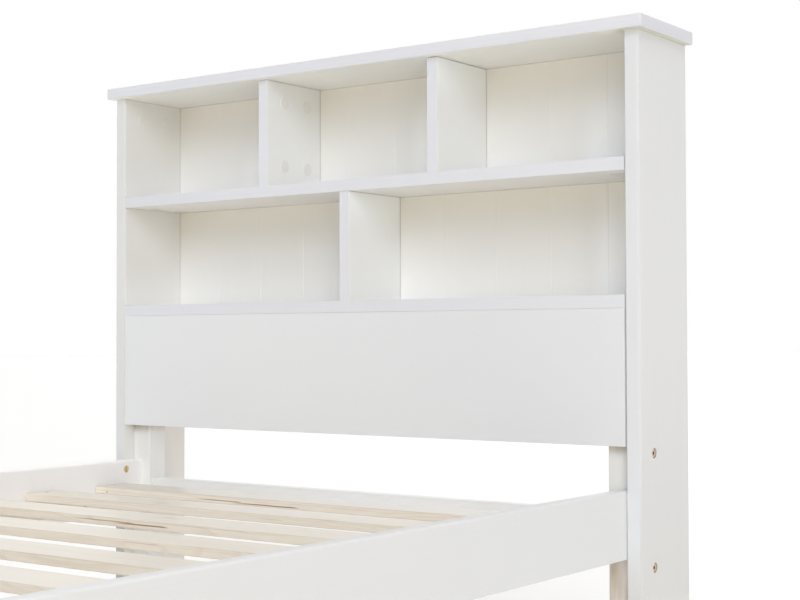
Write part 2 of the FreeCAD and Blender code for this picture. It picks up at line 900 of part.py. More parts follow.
def bolt(name, long_name):
    """A socket-headed bolt. The underside of its head is at z = 0."""
    head = cylinder(name + "_head", "head_wide", "head_tall")
    shank = cylinder(name + "_shank", "shank_wide", f"{long_name} + 1", f"-({long_name})")
    body = fuse(name + "_blank", head, shank)
    body = round_edges(
        name + "_soft",
        body,
        0.8,
        lambda e: abs(e.CenterOfMass.z - sheet.get("head_tall")) < 1e-3
        and e.Length > 30,
    )
    socket = doc.addObject("Part::Prism", name + "_socket")
    socket.Polygon = 6
    bind(socket, "Circumradius", "socket_wide / 1.732")
    bind(socket, "Height", "socket_deep + 1")
    bind(socket, "Placement.Base.z", "head_tall - socket_deep")
    return cut_from(name, body, socket)


def screw(name, long_name):
    """A countersunk screw with a cross recess. The underside of its head's rim is at z = 0."""
    head = doc.addObject("Part::Cone", name + "_head")
    bind(head, "Radius1", "screw_shank / 2")
    bind(head, "Radius2", "screw_head / 2")
    bind(head, "Height", "2.4")
    shank = cylinder(name + "_shank", "screw_shank", f"{long_name} - 4", f"-({long_name}) + 4.5")
    tip = doc.addObject("Part::Cone", name + "_tip")
    bind(tip, "Radius1", "0.3")
    bind(tip, "Radius2", "screw_shank / 2")
    bind(tip, "Height", "4.5")
    bind(tip, "Placement.Base.z", f"-({long_name})")
    body = fuse(name + "_blank", head, shank, tip)
    arms = []
    for k, (u, w) in enumerate(((4.2, 1.0), (1.0, 4.2))):
        b = doc.addObject("Part::Box", f"{name}_arm_{k}")
        b.Length, b.Width, b.Height = u, w, 2
        b.Placement.Base = V(-u / 2, -w / 2, 1.3)
        arms.append(b)
    return cut_from(name, body, fuse(name + "_cross", *arms))


panel_bolt = bolt("panel_bolt", "panel_bolt_long")
rail_bolt = bolt("rail_bolt", "rail_bolt_long")

# barrel nut: its axis is z, its face is at z = 0 and the bolt crosses it along y
nut_blank = cylinder("nut_blank", "nut_wide", "nut_long", "-(nut_long + nut_inset)")
nut_cross = cylinder(
    "nut_cross", "thread_hole", "30", "15", "-y", ("0", "-rail_thick / 2")
)
nut_slot = doc.addObject("Part::Box", "nut_slot")
nut_slot.Length, nut_slot.Width, nut_slot.Height = 20, 1.3, 3
nut_slot.Placement.Base = V(-10, -0.65, -2.3)
nut_tools = fuse("nut_tools", nut_cross, nut_slot)
barrel_nut = cut_from("barrel_nut", nut_blank, nut_tools)

sleeve = cut_from(
    "sleeve",
    cylinder("sleeve_blank", "sleeve_wide", "sleeve_long", "-sleeve_long - 0.5"),
    cylinder("sleeve_bore", "thread_hole", "sleeve_long + 4", "-sleeve_long - 2"),
)

# cam: its face is at z = 0, and the pin comes in from +x
cam_cross = doc.addObject("Part::Box", "cam_cross")
cam_cross.Length, cam_cross.Width, cam_cross.Height = 7, 1.4, 3
cam_cross.Placement.Base = V(-3.5, -0.7, -2.4)
cam_blank = cylinder("cam_blank", "disc_wide", "disc_deep", "-disc_deep - 0.3")
cam_channel = cylinder(
    "cam_channel", "pin_channel", "14", "-3.5", "+x", ("0", "-cam_axis")
)
cam_disc = cut_from("cam_disc", cam_blank, fuse("cam_tools", cam_cross, cam_channel))

# cam pin: the joint between the boards is at z = 0, and its head is at +z
pin_groove = cut_from(
    "pin_stem_turned",
    cylinder("pin_stem", "stem_wide", "stem_long"),
    cut_from(
        "pin_neck_tool",
        cylinder("pin_neck_outer", "10", "3.2", "stem_long - 6"),
        cylinder("pin_neck_inner", "4.2", "3.2", "stem_long - 6"),
    ),
)
cam_pin = fuse(
    "cam_pin",
    pin_groove,
    cylinder("pin_screw", "pin_thread", "pin_thread_long + 1", "-pin_thread_long"),
)

cover_blank = cylinder("cover_blank", "cover_wide", "cover_tall")
cam_cover = round_edges(
    "cam_cover", cover_blank, 0.6, lambda e: e.CenterOfMass.z > 0.5 and e.Length > 30
)

dowel_blank = cylinder(
    "dowel_blank", "dowel_wide", "2 * dowel_half", "-(2 * dowel_half - dowel_short)"
)
dowel_pin = round_edges("dowel_pin", dowel_blank, 0.9, lambda e: e.Length > 22 and len(e.Vertexes) == 1)

slat_screw = screw("slat_screw", "slat_screw_long")
batten_screw = screw("batten_screw", "batten_screw_long")
back_head = cylinder("back_screw_head", "back_head", "back_head_tall")
back_shank = cylinder("back_screw_shank", "back_shank", "back_screw_long + 0.5", "-back_screw_long")
back_screw = round_edges(
    "back_screw",
    fuse("back_screw_blank", back_head, back_shank),
    0.7,
    lambda e: e.CenterOfMass.z > 1 and e.Length > 20,
)
doc.recompute()


def group(name, master, places, turns=None):
    """One node of identical fasteners, each a link to the master at its place."""
    links = []
    for i, (at, out) in enumerate(places):
        link = doc.addObject("App::Link", f"{name}_{i + 1}")
        link.LinkedObject = master
        turn = turns[i] if turns else TURN[out]
        link.Placement = FreeCAD.Placement(V(0, 0, 0), turn)
        for k, text in zip("xyz", at):
            bind(link, f"Placement.Base.{k}", text)
        links.append(link)
    whole = doc.addObject("Part::Compound", name)
    whole.Label = name
    whole.Links = links
    doc.recompute()
    assert len(whole.Shape.Solids) == len(places), (name, len(whole.Shape.Solids))
    PARTS.append(whole)
    return whole


group("panel_bolts", panel_bolt, PANEL_BOLTS)
group("panel_sleeves", sleeve, SLEEVES)
group("rail_bolts", rail_bolt, RAIL_BOLTS)
# the nuts' cross holes run along the bed
group(
    "barrel_nuts",
    barrel_nut,
    NUTS,
    [
        FreeCAD.Rotation(V(0, 0, 0), V(0, 1, 0), UNIT[out], "ZYX")
        for _, out in NUTS
    ],
)
group(
    "cam_discs",
    cam_disc,
    [(at, normal) for _, _, at, normal, _, _ in CAMS],
    [
        FreeCAD.Rotation(UNIT[toward], V(0, 0, 0), UNIT[normal], "ZXY")
        for _, _, _, normal, toward, _ in CAMS
    ],
)
group("cam_pins", cam_pin, PINS)
group(
    "cam_covers",
    cam_cover,
    [(at, normal) for _, _, at, normal, _, covered in CAMS if covered],
)
group("dowels", dowel_pin, DOWELS)
group("slat_screws", slat_screw, SLAT_SCREWS)
group("batten_screws", batten_screw, BATTEN_SCREWS)
group("back_screws", back_screw, BACK_SCREWS)

# ---------------------------------------------------------------- checks and files

doc.recompute()
for obj in doc.Objects:
    bad = [s for s in obj.State if s in ("Invalid", "Error")]
    if bad:
        raise RuntimeError(f"{obj.Name} is {bad}")
os.makedirs("parts", exist_ok=True)
for obj in PARTS:
    shape = obj.Shape
    if shape.isNull() or not shape.isValid() or not shape.Solids:
        raise RuntimeError(f"{obj.Label} has no valid shape")
for obj in PARTS:
    obj.Shape.exportStep(os.path.join("parts", obj.Label + ".step"))
print(len(PARTS), "parts")
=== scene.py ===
import math

import bpy
from mathutils import Matrix, Vector


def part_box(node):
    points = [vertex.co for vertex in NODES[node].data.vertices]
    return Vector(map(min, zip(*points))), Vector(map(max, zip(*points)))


# A single bed with a bookcase headboard: painted boards, bare pine slats and
# plain furniture fasteners, on a pale floor in soft studio light.

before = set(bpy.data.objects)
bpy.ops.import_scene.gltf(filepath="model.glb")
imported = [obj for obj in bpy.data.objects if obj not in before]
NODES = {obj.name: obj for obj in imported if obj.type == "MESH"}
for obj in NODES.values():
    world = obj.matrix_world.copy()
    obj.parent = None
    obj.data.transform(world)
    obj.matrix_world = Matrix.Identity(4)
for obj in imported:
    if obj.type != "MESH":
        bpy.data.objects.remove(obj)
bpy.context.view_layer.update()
scene = bpy.context.scene

# ------------------------------------------------------------------ camera

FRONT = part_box("shelf_upper")[0].y  # the front plane of the headboard
cam_data = bpy.data.cameras.new("camera")
cam_data.sensor_fit = "HORIZONTAL"
cam_data.sensor_width = 36.0
cam_data.lens = 1494.42 * 36.0 / 800.0
cam_data.clip_start, cam_data.clip_end = 0.05, 200.0
cam = bpy.data.objects.new("camera", cam_data)
scene.collection.objects.link(cam)
yaw, pitch, roll = (math.radians(v) for v in (35.971, 1.538, -0.141))
ahead = Vector(
    (-math.sin(yaw) * math.cos(pitch), math.cos(yaw) * math.cos(pitch), math.sin(pitch))
)
right = Vector((math.cos(yaw), math.sin(yaw), 0.0))
up = right.cross(ahead)
right, up = (
    right * math.cos(roll) + up * math.sin(roll),
    up * math.cos(roll) - right * math.sin(roll),
)
cam.matrix_world = Matrix(
    (
        (right.x, up.x, -ahead.x, 1.41024),
        (right.y, up.y, -ahead.y, FRONT - 1.79779),
        (right.z, up.z, -ahead.z, 0.56547),
        (0, 0, 0, 1),
    )
)
scene.camera = cam

# ------------------------------------------------------------------ node helpers


class Net:
    """A small writer of shader nodes for one material."""

    def __init__(self, name):
        self.mat = bpy.data.materials.new(name)
        self.mat.use_nodes = True
        self.tree = self.mat.node_tree
        self.tree.nodes.clear()
        self.out = self.tree.nodes.new("ShaderNodeOutputMaterial")
        self.bsdf = self.tree.nodes.new("ShaderNodeBsdfPrincipled")
        self.tree.links.new(self.bsdf.outputs[0], self.out.inputs["Surface"])
        tc = self.tree.nodes.new("ShaderNodeTexCoord")
        self.place = tc.outputs["Object"]
        self.normal = tc.outputs["Normal"]

    def put(self, socket_shade, value):
        if isinstance(value, bpy.types.NodeSocket):
            self.tree.links.new(value, socket_shade)
        else:
            socket_shade.default_value = value

    def math(self, op, a, b=None, c=None, clamp=False):
        n = self.tree.nodes.new("ShaderNodeMath")
        n.operation = op
        n.use_clamp = clamp
        for i, v in enumerate((a, b, c)):
            if v is not None:
                self.put(n.inputs[i], v)
        return n.outputs[0]

    def ramp(self, value, low, high, to_low=0.0, to_high=1.0, smooth=True):
        n = self.tree.nodes.new("ShaderNodeMapRange")
        n.interpolation_type = "SMOOTHSTEP" if smooth else "LINEAR"
        n.clamp = True
        for key, v in (
            ("Value", value),
            ("From Min", low),
            ("From Max", high),
            ("To Min", to_low),
            ("To Max", to_high),
        ):
            self.put(n.inputs[key], v)
        return n.outputs["Result"]

    def mix(self, factor, a, b):
        n = self.tree.nodes.new("ShaderNodeMix")
        n.data_type = "RGBA"
        self.put(n.inputs[0], factor)
        for i, v in ((6, a), (7, b)):
            self.put(n.inputs[i], (*v, 1.0) if isinstance(v, tuple) else v)
        return n.outputs[2]

    def times(self, colour, factor):
        """A colour made darker or lighter by a number."""
        n = self.tree.nodes.new("ShaderNodeMix")
        n.data_type = "RGBA"
        n.blend_type = "MULTIPLY"
        n.inputs[0].default_value = 1.0
        self.put(n.inputs[6], (*colour, 1.0) if isinstance(colour, tuple) else colour)
        comb = self.tree.nodes.new("ShaderNodeCombineColor")
        for i in range(3):
            self.put(comb.inputs[i], factor)
        self.put(n.inputs[7], comb.outputs[0])
        return n.outputs[2]

    def tinted(self, colour, tint):
        """A colour multiplied by a colour."""
        n = self.tree.nodes.new("ShaderNodeMix")
        n.data_type = "RGBA"
        n.blend_type = "MULTIPLY"
        n.inputs[0].default_value = 1.0
        for i, v in ((6, colour), (7, tint)):
            self.put(n.inputs[i], (*v, 1.0) if isinstance(v, tuple) else v)
        return n.outputs[2]

    def split(self, vector):
        n = self.tree.nodes.new("ShaderNodeSeparateXYZ")
        self.put(n.inputs[0], vector)
        return n.outputs[0], n.outputs[1], n.outputs[2]

    def join(self, x, y, z):
        n = self.tree.nodes.new("ShaderNodeCombineXYZ")
        for i, v in enumerate((x, y, z)):
            self.put(n.inputs[i], v)
        return n.outputs[0]

    def scaled(self, vector, scale, offset=(0.0, 0.0, 0.0)):
        n = self.tree.nodes.new("ShaderNodeMapping")
        self.put(n.inputs["Vector"], vector)
        n.inputs["Scale"].default_value = scale
        n.inputs["Location"].default_value = offset
        return n.outputs[0]

    def noise(self, vector, scale, detail=3.0, rough=0.55, distortion=0.0):
        n = self.tree.nodes.new("ShaderNodeTexNoise")
        self.put(n.inputs["Vector"], vector)
        n.inputs["Scale"].default_value = scale
        n.inputs["Detail"].default_value = detail
        n.inputs["Roughness"].default_value = rough
        n.inputs["Distortion"].default_value = distortion
        return n.outputs["Fac"]

    def cells(self, vector, scale, feature="F1", out="Distance", random=1.0):
        n = self.tree.nodes.new("ShaderNodeTexVoronoi")
        n.feature = feature
        self.put(n.inputs["Vector"], vector)
        n.inputs["Scale"].default_value = scale
        n.inputs["Randomness"].default_value = random
        return n.outputs[out]

    def bump(self, height, distance, strength=1.0, base=None):
        n = self.tree.nodes.new("ShaderNodeBump")
        n.inputs["Strength"].default_value = strength
        n.inputs["Distance"].default_value = distance
        self.put(n.inputs["Height"], height)
        if base is not None:
            self.put(n.inputs["Normal"], base)
        return n.outputs[0]

    def finish(self, colour, rough, normal=None, metallic=0.0, specular=0.5):
        self.put(
            self.bsdf.inputs["Base Color"],
            (*colour, 1.0) if isinstance(colour, tuple) else colour,
        )
        self.put(self.bsdf.inputs["Roughness"], rough)
        self.bsdf.inputs["Metallic"].default_value = metallic
        self.bsdf.inputs["Specular IOR Level"].default_value = specular
        if normal is not None:
            self.put(self.bsdf.inputs["Normal"], normal)
        return self.mat


def stretched(axis, along, across):
    """Scale that draws a pattern out along one axis."""
    return tuple(along if k == axis else across for k in "xyz")


# ------------------------------------------------------------------ painted boards

PAINT = (0.850, 0.848, 0.838)
PAINT_THIN = (0.815, 0.795, 0.755)
# brown of the painted shade under parts, also standing for bare wood
BARE_AND_SHADE_BROWN = (0.500, 0.420, 0.340)
RAW_WOOD = (0.560, 0.420, 0.270)
COAT = 0.990
# colour of the painted shade along corners and joints
CORNER_SHADE = (0.330, 0.290, 0.220)
EVEN = (1.0, 1.0, 1.0)


def paint(
    name,
    axis,
    base=PAINT,
    edge_tint=None,
    facing_light_shade=(),
    grain=0.3,
    streaks=0.0,
    holes=(),
    bare_and_shade=(),
    light_shade_fades=(),
    light_patches=(),
    corner_shades=(),
    arris_shade=None,
    specular=0.5,
):
    """White satin paint on wood. axis is the wood's grain. edge_tint multiplies the coat
    of the narrow faces, given as (axis of the wide faces, tint). facing_light_shade are
    (direction, tint) of painted light and shade on the faces turned that way. holes are
    (axis, point, radius, face, sign) where bare wood shows, and bare_and_shade are (axis,
    from, to, strength) of painted brown shade under a part, with bare wood where the coat
    stops short, most at from and gone at to. light_shade_fades are (axis, from, to, tint at
    from, tint at to, direction, least and greatest height), painted light and shade that
    change slowly over the faces turned that way. light_patches are (from x, full x, end x,
    height where gone, height where full, tint) of painted light on a front face, and
    corner_shades are (axis, place, half width, strength, direction, least height, or less
    the greatest height), painted shade along corners and joints. arris_shade is the tint
    of the painted shade on the rounded edges."""
    n = Net(name)
    nx, ny, nz = n.split(n.normal)
    turned = {"x": nx, "y": ny, "z": nz}
    parts = dict(zip("xyz", n.split(n.place)))

    def faces(direction):
        value = turned[direction[1]]
        if direction[0] == "-":
            value = n.math("MULTIPLY", value, -1.0)
        return n.ramp(value, 0.45, 0.9)

    # low, wide changes of tone: the coat is never even
    cloud = n.noise(n.place, 3.1, 3.0, 0.5)
    tone = n.ramp(cloud, 0.30, 0.70, 0.992, 1.006)
    # the wood's grain, drawn out along the board, shows faintly through
    g_place = n.scaled(n.place, stretched(axis, 2.2, 62.0), (0.7, 1.9, 4.1))
    fibres = n.noise(g_place, 5.5, 5.0, 0.62, 0.35)
    grain_tone = n.ramp(fibres, 0.34, 0.66, 1.0 - 0.016 * grain, 1.0 + 0.008 * grain)
    # thin paint along the rounded edges, where the brush and the sander left less
    flat = n.math(
        "MAXIMUM",
        n.math("MAXIMUM", n.math("ABSOLUTE", nx), n.math("ABSOLUTE", ny)),
        n.math("ABSOLUTE", nz),
    )
    edge = n.ramp(flat, 0.80, 0.985, 1.0, 0.0)
    patchy = n.ramp(n.noise(n.place, 48.0, 3.0, 0.6), 0.42, 0.68)
    worn = n.math("MULTIPLY", n.math("MULTIPLY", edge, patchy), 0.30)
    base = tuple(c * COAT for c in base)
    colour = base
    # painted light and shade on the faces turned each way
    for facing, tint in facing_light_shade:
        colour = n.mix(faces(facing), colour, tuple(c * t for c, t in zip(base, tint)))
    if edge_tint:
        wide, tint = edge_tint
        share = n.ramp(n.math("ABSOLUTE", turned[wide]), 0.35, 0.8, 1.0, 0.0)
        colour = n.mix(share, colour, tuple(c * t for c, t in zip(base, tint)))
    colour = n.mix(worn, colour, PAINT_THIN)
    tone = n.math("MULTIPLY", tone, grain_tone)
    if streaks:
        # the sawn edge's layers show through as thin lines along it
        s_place = n.scaled(n.place, stretched(axis, 2.0, 330.0), (1.3, 0.2, 2.9))
        lines = n.noise(s_place, 1.0, 3.0, 0.6, 0.15)
        tone = n.math("MULTIPLY", tone, n.ramp(lines, 0.36, 0.66, 1.0 + 0.006 * streaks, 1.0 - 0.020 * streaks))
    colour = n.times(colour, tone)
    # painted light and shade that change slowly along one axis
    for f_axis, start, end, first, last, facing, *heights in light_shade_fades:
        tint = n.mix(n.ramp(parts[f_axis], start, end), first, last)
        if facing:
            tint = n.mix(faces(facing), EVEN, tint)
        if heights:
            within = n.math(
                "MULTIPLY",
                n.math("GREATER_THAN", parts["z"], heights[0]),
                n.math("LESS_THAN", parts["z"], heights[1]),
            )
            tint = n.mix(within, EVEN, tint)
        colour = n.tinted(colour, tint)
    # painted light on the front faces, lifting shade
    for from_x, full_x, end_x, gone_z, full_z, tint in light_patches:
        share = n.math("MULTIPLY", n.ramp(parts["x"], from_x, full_x), n.math("LESS_THAN", parts["x"], end_x))
        share = n.math("MULTIPLY", share, n.ramp(parts["z"], full_z, gone_z, 1.0, 0.0))
        if full_z > 0.8:
            share = n.math("MULTIPLY", share, n.math("GREATER_THAN", parts["z"], 0.8))
        else:
            share = n.math("MULTIPLY", share, n.math("LESS_THAN", parts["z"], 0.8))
        colour = n.tinted(colour, n.mix(n.math("MULTIPLY", share, faces("-y")), EVEN, tint))
    # painted shade on the rounded edges, dimming their highlight
    if arris_shade:
        colour = n.tinted(colour, n.mix(edge, EVEN, arris_shade))
    # painted shade along corners and joints
    for s_axis, place, half, strength, facing, least in corner_shades:
        off = n.math("ABSOLUTE", n.math("SUBTRACT", parts[s_axis], place))
        line = n.ramp(off, half * 0.35, half, strength, 0.0)
        line = n.math("MULTIPLY", line, faces(facing))
        if least > 0.0:
            line = n.math("MULTIPLY", line, n.math("GREATER_THAN", parts["z"], least))
        elif least < 0.0:
            line = n.math("MULTIPLY", line, n.math("LESS_THAN", parts["z"], -least))
        colour = n.mix(line, colour, CORNER_SHADE)
    # painted brown shade under a part, with bare wood where the coat stops short
    for r_axis, start, end, strength in bare_and_shade:
        uneven = n.ramp(n.noise(n.scaled(n.place, stretched(r_axis, 12.0, 70.0)), 1.0, 2.0), 0.3, 0.7, 0.7, 1.15)
        bare_and_shade_share = n.math("MULTIPLY", n.ramp(parts[r_axis], min(start, end), max(start, end), float(start < end), float(start > end)), strength)
        if start < end:
            bare_and_shade_share = n.math("MULTIPLY", bare_and_shade_share, n.ramp(parts[r_axis], start - 0.0012, start - 0.0004))
        else:
            bare_and_shade_share = n.math("MULTIPLY", bare_and_shade_share, n.ramp(parts[r_axis], start + 0.0004, start + 0.0012, 1.0, 0.0))
        colour = n.mix(n.math("MULTIPLY", bare_and_shade_share, uneven), colour, BARE_AND_SHADE_BROWN)
    rough_value = n.math(
        "ADD",
        n.ramp(n.noise(n.place, 21.0, 3.0, 0.6), 0.3, 0.7, 0.50, 0.60),
        n.math("MULTIPLY", edge, -0.05),
    )
    # roller texture over the raised grain
    peel = n.noise(n.place, 620.0, 2.0, 0.5)
    bump = n.bump(fibres, 0.00010 * grain, 0.5)
    bump = n.bump(peel, 0.00003, 0.35, bump)
    for h_axis, (cu, cv), radius, face, sign in holes:
        # bare wood inside a counterbore
        u, v = [parts[k] for k in "xyz" if k != h_axis]
        du = n.math("SUBTRACT", u, cu)
        dv = n.math("SUBTRACT", v, cv)
        away = n.math("SQRT", n.math("ADD", n.math("MULTIPLY", du, du), n.math("MULTIPLY", dv, dv)))
        depth = n.math("MULTIPLY", n.math("SUBTRACT", face, parts[h_axis]), sign)
        inside = n.math(
            "MULTIPLY",
            n.ramp(away, radius + 0.0001, radius + 0.0004, 1.0, 0.0),
            n.ramp(depth, 0.0003, 0.0009),
        )
        streak = n.ramp(n.noise(n.scaled(n.place, stretched(axis, 60.0, 900.0)), 1.0, 3.0), 0.3, 0.7, 0.75, 1.15)
        colour = n.mix(inside, colour, n.times(RAW_WOOD, streak))
    return n.finish(colour, rough_value, bump, specular=specular)


# ------------------------------------------------------------------ bare pine

# the top faces are paler than the narrow faces: painted sheen
PINE_TOP_SHEEN = (0.845, 0.800, 0.725)
PINE_SIDE = (0.800, 0.732, 0.635)
PINE_MID = (0.745, 0.655, 0.535)
PINE_LATE = (0.620, 0.490, 0.360)
PINE_DARK = (0.300, 0.170, 0.095)


def pine(name, seed, axis="x", knots=0.5, tone=1.0, streaks=(), spots=(), top=PINE_TOP_SHEEN):
    """Planed softwood: growth rings drawn out along the piece, with knots and resin.
    streaks are (start, end, height, half thickness, strength) of resin on the narrow
    front face and spots are (along, height, radius) of pin knots there."""
    n = Net(name)
    x, y, z = n.split(n.place)
    along, u, v = {"x": (x, y, z), "y": (y, x, z)}[axis]
    nx, ny, nz = n.split(n.normal)
    upright = n.math("ABSOLUTE", nz)
    side = n.ramp(upright, 0.45, 0.85, 1.0, 0.0)
    # the trunk's middle wanders beside the piece, so the rings meet its faces at a slant
    wander = n.noise(n.join(n.math("MULTIPLY", along, 1.4), seed * 1.7, 0.0), 1.0, 2.0, 0.5)
    drift = n.math("MULTIPLY", n.math("SUBTRACT", wander, 0.5), 0.055)
    # knots, as flattened cells along the piece
    k_place = n.join(
        n.math("MULTIPLY", along, 4.2),
        n.math("ADD", n.math("MULTIPLY", u, 17.0), seed * 3.3),
        n.math("MULTIPLY", v, 17.0),
    )
    k_far = n.cells(k_place, 1.0)
    knot = n.ramp(k_far, 0.030, 0.095, 1.0, 0.0)
    swirl = n.ramp(k_far, 0.05, 0.48, 1.0, 0.0)
    du = n.math("SUBTRACT", u, n.math("ADD", drift, math.sin(seed * 5.1) * 0.02))
    du = n.math("WRAP", du, 0.0735, -0.0735)
    dv = n.math("SUBTRACT", v, 0.30 + 0.012 * math.cos(seed * 2.3))
    far = n.math("SQRT", n.math("ADD", n.math("MULTIPLY", du, du), n.math("MULTIPLY", dv, dv)))
    shake = n.noise(
        n.join(n.math("MULTIPLY", along, 5.0), n.math("MULTIPLY", u, 60.0), n.math("MULTIPLY", v, 60.0)),
        1.0,
        3.0,
        0.6,
    )
    phase = n.math(
        "ADD",
        n.math("ADD", n.math("MULTIPLY", far, 310.0), n.math("MULTIPLY", shake, 2.2)),
        n.math("MULTIPLY", swirl, 1.6 * knots),
    )
    ring = n.math("FRACT", phase)
    late = n.math("MULTIPLY", n.ramp(ring, 0.45, 0.93), n.ramp(ring, 0.94, 1.0, 1.0, 0.0))
    # some years grew wider than others
    years = n.ramp(n.noise(n.join(n.math("MULTIPLY", far, 60.0), seed, 0.0), 1.0, 1.0), 0.3, 0.7, 0.35, 1.0)
    late = n.math("MULTIPLY", late, years)
    # fibres and wide bands
    fine = n.noise(
        n.join(n.math("MULTIPLY", along, 14.0), n.math("MULTIPLY", u, 900.0), n.math("MULTIPLY", v, 900.0)),
        1.0,
        4.0,
        0.7,
    )
    band = n.noise(
        n.join(
            n.math("MULTIPLY", along, 1.1),
            n.math("MULTIPLY", u, 34.0),
            n.math("ADD", n.math("MULTIPLY", v, 190.0), seed),
        ),
        1.0,
        3.0,
        0.55,
        0.4,
    )
    # thin darker lines, mostly on the narrow faces
    lines = n.noise(
        n.join(
            n.math("MULTIPLY", along, 1.9),
            n.math("MULTIPLY", u, 90.0),
            n.math("ADD", n.math("MULTIPLY", v, 620.0), seed * 7.0),
        ),
        1.0,
        2.0,
        0.5,
        0.2,
    )
    # top faces take the top colour, with painted sheen; the narrow faces keep the wood's browner colour
    colour = n.mix(side, top, PINE_SIDE)
    weight = n.math("ADD", n.math("MULTIPLY", side, 0.30), 0.16)
    colour = n.mix(n.math("MULTIPLY", late, weight), colour, PINE_LATE)
    colour = n.mix(n.math("MULTIPLY", n.ramp(band, 0.42, 0.72), n.math("ADD", n.math("MULTIPLY", side, 0.35), 0.22)), colour, PINE_MID)
    colour = n.mix(n.math("MULTIPLY", n.ramp(lines, 0.60, 0.74), n.math("ADD", n.math("MULTIPLY", side, 0.30), 0.10)), colour, PINE_LATE)
    # darker along the arrises, in patches
    flat = n.math(
        "MAXIMUM",
        n.math("MAXIMUM", n.math("ABSOLUTE", nx), n.math("ABSOLUTE", ny)),
        upright,
    )
    arris_dark = n.math(
        "MULTIPLY",
        n.ramp(flat, 0.78, 0.97, 1.0, 0.0),
        n.ramp(n.noise(n.join(n.math("MULTIPLY", along, 9.0), n.math("MULTIPLY", u, 30.0), seed), 1.0, 2.0), 0.35, 0.62, 0.12, 0.62),
    )
    colour = n.mix(arris_dark, colour, PINE_LATE)
    colour = n.mix(n.math("MULTIPLY", knot, 0.55 * knots), colour, PINE_DARK)
    front = n.ramp(n.math("MULTIPLY", ny, -1.0), 0.3, 0.7)
    for start, end, height, half, strength in streaks:
        jitter = n.math("MULTIPLY", n.math("SUBTRACT", n.noise(n.join(n.math("MULTIPLY", along, 30.0), seed, height), 1.0, 2.0), 0.5), 0.0012)
        off = n.math("ABSOLUTE", n.math("ADD", n.math("SUBTRACT", v, height), jitter))
        mask = n.math("MULTIPLY", n.ramp(off, half * 0.3, half, 1.0, 0.0), front)
        reach = n.math(
            "MULTIPLY",
            n.ramp(along, start, start + 0.4 * (end - start)),
            n.ramp(along, end - 0.12 * (end - start), end, 1.0, 0.0),
        )
        colour = n.mix(n.math("MULTIPLY", n.math("MULTIPLY", mask, reach), strength), colour, PINE_DARK)
    for place, height, radius in spots:
        a = n.math("SUBTRACT", along, place)
        b = n.math("SUBTRACT", v, height)
        away = n.math("SQRT", n.math("ADD", n.math("MULTIPLY", n.math("MULTIPLY", a, a), 0.25), n.math("MULTIPLY", b, b)))
        colour = n.mix(
            n.math("MULTIPLY", n.math("MULTIPLY", n.ramp(away, radius * 0.4, radius, 1.0, 0.0), front), 0.7),
            colour,
            PINE_DARK,
        )
    colour = n.times(colour, n.math("MULTIPLY", n.ramp(fine, 0.3, 0.7, 0.975, 1.015), tone))
    rough_value = n.math(
        "ADD",
        n.math("ADD", n.ramp(fine, 0.3, 0.7, 0.36, 0.46), n.math("MULTIPLY", late, -0.05)),
        n.math("MULTIPLY", side, 0.22),
    )
    bump = n.bump(fine, 0.00006, 0.4)
    bump = n.bump(late, 0.00008, 0.3, bump)
    return n.finish(colour, rough_value, bump, specular=0.5)


# ------------------------------------------------------------------ fittings


def metal(name, colour, dark, rough, axis_scale=(60.0, 60.0, 60.0), metallic=1.0, socket_shade=None):
    """Plated metal with fine turning marks and dull spots, and painted shade in the key's hex recess. socket_shade is
    the distance from the bed's middle, across it, below which the hex recess is painted dark."""
    n = Net(name)
    spots = n.noise(n.place, 900.0, 3.0, 0.6)
    marks = n.noise(n.scaled(n.place, axis_scale), 40.0, 3.0, 0.6)
    patina = n.ramp(spots, 0.42, 0.72)
    colour = n.mix(n.math("MULTIPLY", patina, 0.6), colour, dark)
    # painted shade in the key's hex recess
    if socket_shade:
        out = n.math("ABSOLUTE", n.split(n.place)[0])
        colour = n.mix(n.ramp(out, socket_shade - 0.0004, socket_shade + 0.0003, 1.0, 0.0), colour, (0.06, 0.04, 0.03))
    rough_value = n.math("ADD", n.ramp(marks, 0.3, 0.7, rough - 0.07, rough + 0.10), n.math("MULTIPLY", patina, 0.12))
    bump = n.bump(marks, 0.00003, 0.6)
    return n.finish(colour, rough_value, bump, metallic=metallic)


def plastic(name, colour):
    """Moulded plastic with a faint spark texture."""
    n = Net(name)
    spark = n.noise(n.place, 1500.0, 2.0, 0.5)
    tone = n.ramp(n.noise(n.place, 40.0, 2.0), 0.3, 0.7, 0.98, 1.01)
    bump = n.bump(spark, 0.00002, 0.5)
    return n.finish(n.times(colour, tone), n.ramp(spark, 0.3, 0.7, 0.36, 0.46), bump)


def turned_wood(name):
    """Fluted beech dowels."""
    n = Net(name)
    fibres = n.noise(n.scaled(n.place, (20.0, 400.0, 400.0)), 1.0, 4.0, 0.6)
    flecks = n.cells(n.scaled(n.place, (120.0, 700.0, 700.0)), 1.0)
    colour = n.mix(n.ramp(fibres, 0.3, 0.7), (0.60, 0.42, 0.27), (0.70, 0.52, 0.36))
    colour = n.mix(n.ramp(flecks, 0.05, 0.2, 0.5, 0.0), colour, (0.40, 0.26, 0.15))
    return n.finish(colour, n.ramp(fibres, 0.3, 0.7, 0.5, 0.65), n.bump(fibres, 0.0001, 0.5))


# ------------------------------------------------------------------ materials on the nodes


def coat(node, mat):
    o = NODES[node]
    o.data.materials.clear()
    o.data.materials.append(mat)


bolt_lo, bolt_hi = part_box("panel_bolts")
panel_holes = {}
for side, sign in (("left", -1.0), ("right", 1.0)):
    y = (bolt_lo.y + bolt_hi.y) / 2
    panel_holes[side] = [
        ("x", (y, z), 0.0070, sign * 0.5, sign)
        for z in (0.412, 0.258)
    ]

